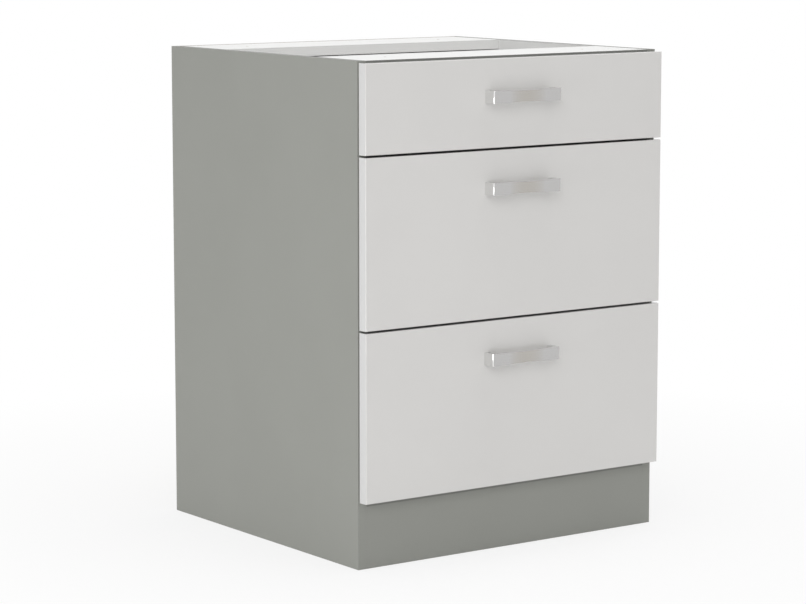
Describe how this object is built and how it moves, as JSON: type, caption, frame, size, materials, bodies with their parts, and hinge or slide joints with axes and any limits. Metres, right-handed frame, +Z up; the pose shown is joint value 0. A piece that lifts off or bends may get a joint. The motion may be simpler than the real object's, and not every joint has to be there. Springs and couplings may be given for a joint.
{
  "type": "kitchen drawer base cabinet",
  "caption": "Kitchen base cabinet with sliding drawers on roller runners, glossy slab fronts with strap handles, an open top with rails for a worktop and a flush plinth.",
  "frame": {"origin": "on the floor, at the middle of the overall footprint with the handles", "axes": "+Z up, fronts and handles towards -Y, +X to the right as seen from the front"},
  "size_m": [0.6, 0.594, 0.8],
  "materials": {
    "grey_board": "melamine-faced chipboard, matt grey with a fine grain",
    "white_board": "melamine-faced chipboard, matt white",
    "white_hardboard": "thin hardboard, painted white on its face",
    "dowel_wood": "plain beech",
    "zinc_casting": "zinc die casting, dull grey",
    "zinc_steel": "zinc-plated steel",
    "gloss_front": "high-gloss light grey foil on fibreboard",
    "handle_chrome": "chromed zinc with a soft shine",
    "runner_enamel": "white enamelled sheet steel",
    "roller_plastic": "white moulded nylon"
  },
  "bodies": {
    "carcass": {"left_side_panel": "grey_board", "right_side_panel": "grey_board", "bottom_panel": "white_board", "front_top_rail": "white_board", "rear_top_rail": "white_board", "back_panel": "white_hardboard", "plinth_board": "grey_board", "carcass_dowels": "dowel_wood", "carcass_cam_discs": "zinc_casting", "carcass_cam_bolts": "zinc_steel", "cabinet_rail_screws": "zinc_steel", "back_panel_nails": "zinc_steel", "bottom_left_cabinet_rail": "runner_enamel", "bottom_right_cabinet_rail": "runner_enamel", "middle_left_cabinet_rail": "runner_enamel", "middle_right_cabinet_rail": "runner_enamel", "top_left_cabinet_rail": "runner_enamel", "top_right_cabinet_rail": "runner_enamel"},
    "bottom_drawer": {"bottom_drawer_front": "gloss_front", "bottom_box_left_side": "white_board", "bottom_box_right_side": "white_board", "bottom_box_back": "white_board", "bottom_box_base": "white_hardboard", "bottom_drawer_handle": "handle_chrome", "bottom_handle_screws": "zinc_steel", "bottom_front_cam_discs": "zinc_casting", "bottom_front_cam_bolts": "zinc_steel", "bottom_drawer_screws": "zinc_steel", "bottom_left_drawer_rail": "runner_enamel", "bottom_right_drawer_rail": "runner_enamel"},
    "bottom_front_rollers": {"bottom_front_rollers": "roller_plastic"},
    "bottom_rear_rollers": {"bottom_rear_rollers": "roller_plastic"},
    "middle_drawer": {"middle_drawer_front": "gloss_front", "middle_box_left_side": "white_board", "middle_box_right_side": "white_board", "middle_box_back": "white_board", "middle_box_base": "white_hardboard", "middle_drawer_handle": "handle_chrome", "middle_handle_screws": "zinc_steel", "middle_front_cam_discs": "zinc_casting", "middle_front_cam_bolts": "zinc_steel", "middle_drawer_screws": "zinc_steel", "middle_left_drawer_rail": "runner_enamel", "middle_right_drawer_rail": "runner_enamel"},
    "middle_front_rollers": {"middle_front_rollers": "roller_plastic"},
    "middle_rear_rollers": {"middle_rear_rollers": "roller_plastic"},
    "top_drawer": {"top_drawer_front": "gloss_front", "top_box_left_side": "white_board", "top_box_right_side": "white_board", "top_box_back": "white_board", "top_box_base": "white_hardboard", "top_drawer_handle": "handle_chrome", "top_handle_screws": "zinc_steel", "top_front_cam_discs": "zinc_casting", "top_front_cam_bolts": "zinc_steel", "top_drawer_screws": "zinc_steel", "top_left_drawer_rail": "runner_enamel", "top_right_drawer_rail": "runner_enamel"},
    "top_front_rollers": {"top_front_rollers": "roller_plastic"},
    "top_rear_rollers": {"top_rear_rollers": "roller_plastic"}
  },
  "joints": [
    {"name": "bottom_drawer_slide", "type": "slide", "parent": "carcass", "child": "bottom_drawer", "axis": [0, -1, 0], "range_m": [0, 0.37]},
    {"name": "bottom_front_rollers_turn", "type": "hinge", "parent": "carcass", "child": "bottom_front_rollers", "pos_m": [0, -0.237, 0.1377], "axis": [1, 0, 0], "range_deg": [0, 2130]},
    {"name": "bottom_rear_rollers_turn", "type": "hinge", "parent": "bottom_drawer", "child": "bottom_rear_rollers", "pos_m": [0, 0.231, 0.1377], "axis": [1, 0, 0], "range_deg": [0, 2130]},
    {"name": "middle_drawer_slide", "type": "slide", "parent": "carcass", "child": "middle_drawer", "axis": [0, -1, 0], "range_m": [0, 0.37]},
    {"name": "middle_front_rollers_turn", "type": "hinge", "parent": "carcass", "child": "middle_front_rollers", "pos_m": [0, -0.237, 0.4112], "axis": [1, 0, 0], "range_deg": [0, 2130]},
    {"name": "middle_rear_rollers_turn", "type": "hinge", "parent": "middle_drawer", "child": "middle_rear_rollers", "pos_m": [0, 0.231, 0.4112], "axis": [1, 0, 0], "range_deg": [0, 2130]},
    {"name": "top_drawer_slide", "type": "slide", "parent": "carcass", "child": "top_drawer", "axis": [0, -1, 0], "range_m": [0, 0.37]},
    {"name": "top_front_rollers_turn", "type": "hinge", "parent": "carcass", "child": "top_front_rollers", "pos_m": [0, -0.237, 0.6847], "axis": [1, 0, 0], "range_deg": [0, 2130]},
    {"name": "top_rear_rollers_turn", "type": "hinge", "parent": "top_drawer", "child": "top_rear_rollers", "pos_m": [0, 0.231, 0.6847], "axis": [1, 0, 0], "range_deg": [0, 2130]}
  ],
  "couplings": [
    {"joint": "bottom_front_rollers_turn", "follows": "bottom_drawer_slide", "rad_per_m": 100},
    {"joint": "bottom_rear_rollers_turn", "follows": "bottom_drawer_slide", "rad_per_m": 100},
    {"joint": "middle_front_rollers_turn", "follows": "middle_drawer_slide", "rad_per_m": 100},
    {"joint": "middle_rear_rollers_turn", "follows": "middle_drawer_slide", "rad_per_m": 100},
    {"joint": "top_front_rollers_turn", "follows": "top_drawer_slide", "rad_per_m": 100},
    {"joint": "top_rear_rollers_turn", "follows": "top_drawer_slide", "rad_per_m": 100}
  ]
}
